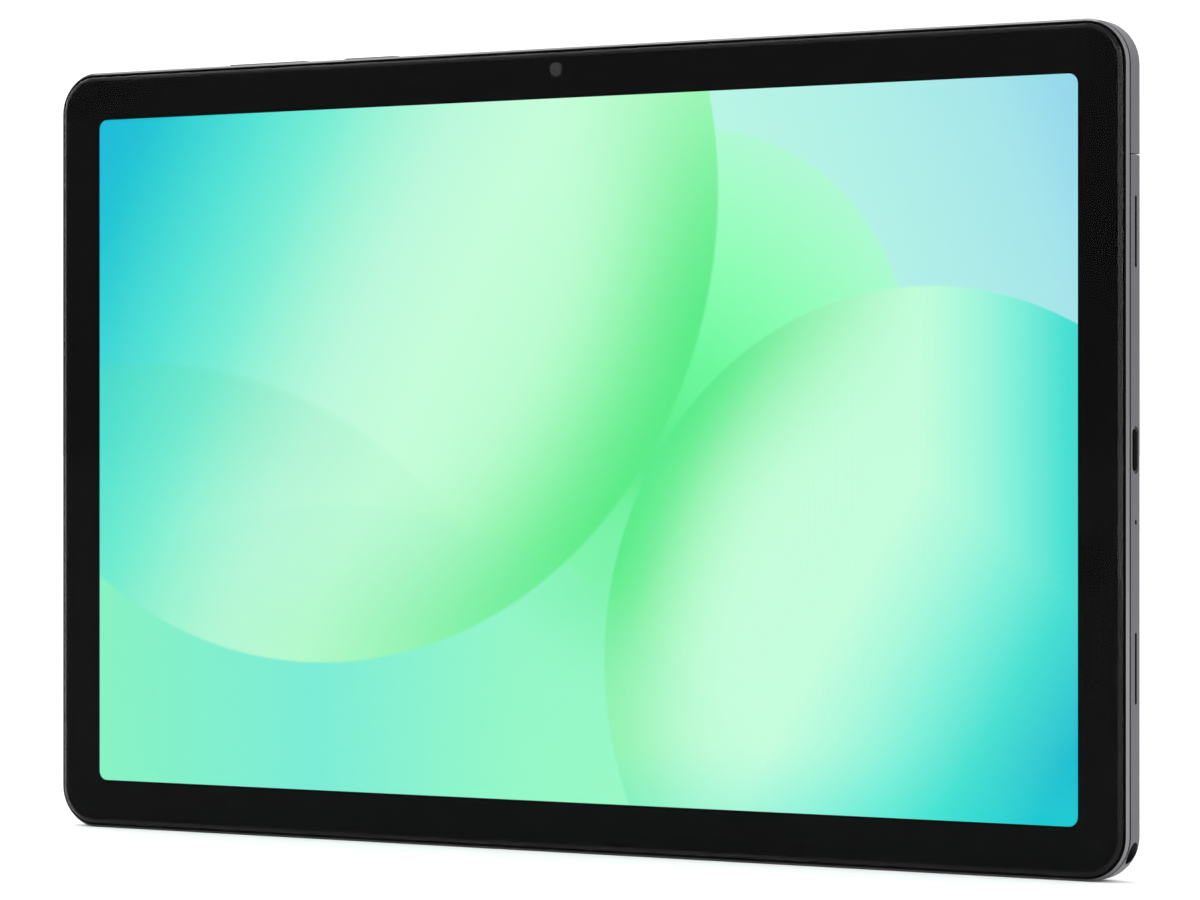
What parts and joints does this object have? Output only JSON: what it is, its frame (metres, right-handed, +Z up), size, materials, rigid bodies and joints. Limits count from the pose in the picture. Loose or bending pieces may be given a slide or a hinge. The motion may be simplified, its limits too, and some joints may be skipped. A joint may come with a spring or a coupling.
{
  "type": "tablet computer",
  "caption": "Slim touch-screen tablet computer with a glass front in a thin metal frame, rocking volume key, power key, pull-out card tray, charging and headphone sockets.",
  "frame": {"origin": "middle of the bottom edge, at half the body's thickness", "axes": "+X along the long edge towards the charging socket, +Y from the screen to the back, +Z up the screen"},
  "size_m": [0.257, 0.0077, 0.1691],
  "materials": {
    "glass_front": "clear, polished, curved edge",
    "black_print": "gloss black ink seen through glass",
    "clear_film": "clear",
    "display_glass": "lit display picture",
    "steel": "satin",
    "black_rubber": "matt",
    "flex": "amber flexible circuit",
    "frame_metal": "satin chamfer, graphite",
    "housing_metal": "fine bead-blasted graphite",
    "painted_plastic": "painted to match the housing",
    "plate_metal": "plain",
    "board": "green solder resist",
    "chip_black": "moulded",
    "connector_cream": "moulded",
    "contact_gold": "gold plated",
    "black_plastic": "moulded",
    "ring_metal": "turned and polished",
    "lens_glass": "coated lens",
    "battery_wrap": "pouch cell foil",
    "graphite_sheet": "matt grey"
  },
  "bodies": {
    "tablet": {"cover_glass": "glass_front", "bezel_print": "black_print", "optical_adhesive": "clear_film", "display_cell": "display_glass", "diffuser_films": "clear_film", "light_guide": "clear_film", "led_strip": "connector_cream", "display_tray": "steel", "display_tape": "black_rubber", "display_flex": "flex", "glass_gasket": "black_rubber", "front_frame": "frame_metal", "support_plate": "plate_metal", "rear_housing": "housing_metal", "antenna_cover": "painted_plastic", "key_bracket": "steel", "key_flex": "flex", "key_domes": "steel", "card_reader": "steel", "front_camera": "black_plastic", "front_camera_lens": "lens_glass", "rear_camera": "black_plastic", "rear_camera_ring": "ring_metal", "rear_camera_glass": "lens_glass", "rear_camera_foam": "black_rubber", "battery_cell_left": "battery_wrap", "battery_cell_right": "battery_wrap", "battery_board": "board", "battery_flex": "flex", "battery_adhesive": "connector_cream", "main_board": "board", "board_chips": "chip_black", "shield_cans": "steel", "heat_sheet": "graphite_sheet", "board_connectors": "connector_cream", "socket_board": "board", "usb_shell": "steel", "usb_tongue": "black_plastic", "usb_contacts": "contact_gold", "link_flex": "flex", "headphone_socket": "black_plastic", "headphone_contacts": "contact_gold", "headphone_flex": "flex", "speaker_upper_right": "black_plastic", "speaker_lower_right": "black_plastic", "speaker_upper_left": "black_plastic", "speaker_lower_left": "black_plastic", "speaker_meshes": "steel", "microphone": "contact_gold", "antenna_films": "contact_gold", "antenna_cables": "black_rubber", "board_screws": "steel", "speaker_screws": "steel", "bracket_screws": "steel"},
    "volume_rocker": {"volume_key": "housing_metal"},
    "power_button": {"power_key": "housing_metal"},
    "card_drawer": {"card_tray": "painted_plastic"}
  },
  "joints": [
    {"name": "volume_rock", "type": "hinge", "parent": "tablet", "child": "volume_rocker", "pos_m": [-0.07485, 0.00105, 0.16685], "axis": [0, 1, 0], "range_deg": [-1.2, 1.2], "stiffness_Nm_per_rad": 0.6},
    {"name": "power_press", "type": "slide", "parent": "tablet", "child": "power_button", "axis": [0, 0, -1], "range_m": [0, 0.00025], "stiffness_N_per_m": 6000},
    {"name": "card_slide", "type": "slide", "parent": "tablet", "child": "card_drawer", "axis": [0, 0, 1], "range_m": [0, 0.028]}
  ]
}
